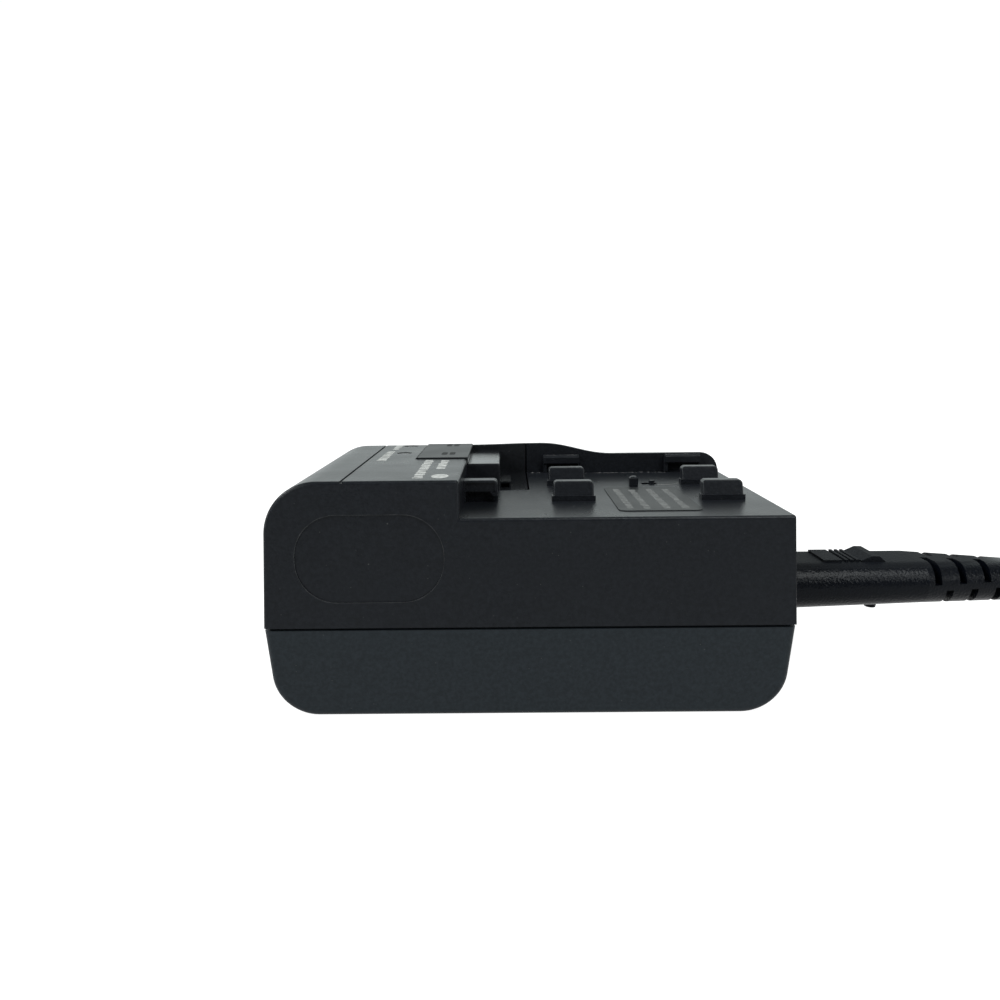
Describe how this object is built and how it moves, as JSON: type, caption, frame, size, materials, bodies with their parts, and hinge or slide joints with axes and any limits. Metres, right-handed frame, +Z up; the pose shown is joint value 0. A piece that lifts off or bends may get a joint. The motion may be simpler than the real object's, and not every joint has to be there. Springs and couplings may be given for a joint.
{
  "type": "camera battery charger",
  "caption": "Black mains camera battery charger: raised front block, open battery deck with hooks and guard wall, terminal carrier, plain label, two-pole inlet and coiled mains lead",
  "frame": {"origin": "on the floor under the middle of the housing, without the mains lead", "axes": "+X from the raised front block to the mains inlet end, +Y from the open side to the guard wall, +Z up"},
  "size_m": [0.284, 0.0796, 0.0417],
  "materials": {
    "housing_upper": "satin black moulded plastic with a fine spark texture",
    "housing_lower": "satin black moulded plastic with a fine spark texture",
    "carrier": "slightly duller black moulded plastic",
    "label_film": "thin black film with faint grey print",
    "contact_metal": "gold flash over nickel",
    "light_pipe": "smoked clear plastic",
    "led_resin": "tinted epoxy",
    "board": "paper-phenolic laminate",
    "ferrite": "ground ferrite",
    "winding_tape": "polyester tape over windings",
    "capacitor_sleeve": "shrunk plastic sleeve",
    "choke_winding": "enamelled copper winding",
    "fuse_ceramic": "ceramic tube with metal caps",
    "chip_resin": "moulded epoxy",
    "heat_sink": "bent sheet",
    "disc_resin": "dipped epoxy",
    "inlet_plastic": "black moulded plastic",
    "screw_steel": "black zinc self-tapping screw",
    "lead_moulding": "soft black PVC overmould",
    "cord_sheath": "black PVC sheath",
    "tie": "woven hook-and-loop strap",
    "blade_metal": "nickel-plated brass"
  },
  "bodies": {
    "root": {"upper_housing": "housing_upper", "lower_housing": "housing_lower", "terminal_carrier": "carrier", "rating_label": "label_film", "terminal_contact_positive": "contact_metal", "terminal_contact_signal": "contact_metal", "terminal_contact_negative": "contact_metal", "charge_light_pipe": "light_pipe", "full_light_pipe": "light_pipe", "charge_led": "led_resin", "full_led": "led_resin", "circuit_board": "board", "transformer_core": "ferrite", "transformer_winding": "winding_tape", "primary_capacitor": "capacitor_sleeve", "output_capacitor_near": "capacitor_sleeve", "output_capacitor_far": "capacitor_sleeve", "line_choke": "choke_winding", "mains_fuse": "fuse_ceramic", "bridge_rectifier": "chip_resin", "control_chip": "chip_resin", "heat_sink": "heat_sink", "switching_transistor": "chip_resin", "optocoupler": "chip_resin", "safety_capacitor": "disc_resin", "inlet_socket": "inlet_plastic", "inlet_pins": "contact_metal", "case_screws": "screw_steel", "lead_connector": "lead_moulding", "mains_cord_lead": "cord_sheath", "mains_cord_coil": "cord_sheath", "mains_cord_tail": "cord_sheath", "cord_tie": "tie", "mains_plug": "lead_moulding", "plug_blades": "blade_metal"}
  },
  "joints": []
}
